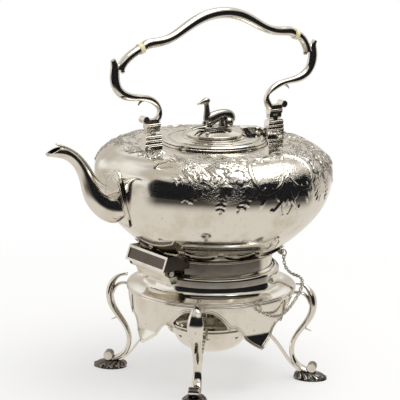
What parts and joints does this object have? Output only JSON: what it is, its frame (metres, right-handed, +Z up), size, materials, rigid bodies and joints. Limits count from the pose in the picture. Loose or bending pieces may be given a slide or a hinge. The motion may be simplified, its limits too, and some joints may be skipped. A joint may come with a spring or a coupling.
{
  "type": "spirit kettle on stand",
  "caption": "Round-bellied metal kettle with swan-neck spout, hinged lid with hound finial and swinging bail handle, tilting on a legged stand over a spirit lamp.",
  "frame": {"origin": "on the table, at the stand's vertical axis", "axes": "+X towards the spout, +Z up, +Y to the left of the spout"},
  "size_m": [0.3144, 0.231, 0.3618],
  "materials": {
    "silver": "polished silver plate, lightly tarnished",
    "oxidised_silver": "cast silver plate with dark recesses",
    "chain_silver": "small silver chain and pin, dulled",
    "ivory": "pale ivory insulating rings, satin",
    "wick_cotton": "woven cotton wick"
  },
  "bodies": {
    "stand": {"stand_shoulder": "silver", "seat_ring": "silver", "stand_girdle": "silver", "stand_apron": "silver", "lamp_ring": "silver", "tilt_bracket": "silver", "lock_lugs": "silver", "chain_stud": "chain_silver", "pin_chain": "chain_silver", "foot_front_left": "oxidised_silver", "leg_front_left": "silver", "strut_front_left": "silver", "foot_front_right": "oxidised_silver", "leg_front_right": "silver", "strut_front_right": "silver", "foot_rear_right": "oxidised_silver", "leg_rear_right": "silver", "strut_rear_right": "silver", "foot_rear_left": "oxidised_silver", "leg_rear_left": "silver", "strut_rear_left": "silver"},
    "kettle": {"kettle_base": "silver", "kettle_flank": "silver", "kettle_belly": "silver", "kettle_shoulder": "silver", "kettle_crown": "silver", "kettle_foot": "silver", "foot_gallery": "silver", "hinge_box": "silver", "tilt_pin": "silver", "lock_tongue": "silver", "spout_neck": "silver", "spout_beak": "silver", "spout_collar": "silver", "spout_leaf": "silver", "lid_seat": "silver", "lid_bracket": "silver", "lid_pin": "silver", "socket_leaves": "silver", "swing_pins": "silver", "socket_front": "silver", "socket_rear": "silver"},
    "handle": {"handle_grip": "silver", "insulators": "ivory", "swing_block_front": "silver", "scroll_front": "silver", "ferrule_front": "silver", "swing_block_rear": "silver", "scroll_rear": "silver", "ferrule_rear": "silver"},
    "lid": {"lid_cover": "silver", "lid_button": "silver", "lid_leaf": "silver", "finial_hound": "oxidised_silver", "finial_nut": "silver"},
    "lamp": {"lamp_bowl": "silver", "lamp_top": "silver", "burner": "silver", "wick": "wick_cotton"},
    "lock": {"lock_pin": "chain_silver"}
  },
  "joints": [
    {"name": "kettle_tilt", "type": "hinge", "parent": "stand", "child": "kettle", "pos_m": [0.0715, 0, 0.1175], "axis": [0, 1, 0], "range_deg": [0, 50]},
    {"name": "lid_hinge", "type": "hinge", "parent": "kettle", "child": "lid", "pos_m": [-0.0554, 0, 0.2386], "axis": [0, -1, 0], "range_deg": [0, 58]},
    {"name": "handle_swing", "type": "hinge", "parent": "kettle", "child": "handle", "pos_m": [0, 0, 0.25], "axis": [1, 0, 0], "range_deg": [-78, 78]},
    {"name": "lamp_lift", "type": "slide", "parent": "stand", "child": "lamp", "axis": [0, 0, 1], "range_m": [0, 0.03]},
    {"name": "lock_slide", "type": "slide", "parent": "stand", "child": "lock", "axis": [0, 1, 0], "range_m": [-0.0095, 0.01], "deforming": ["pin_chain"]}
  ]
}
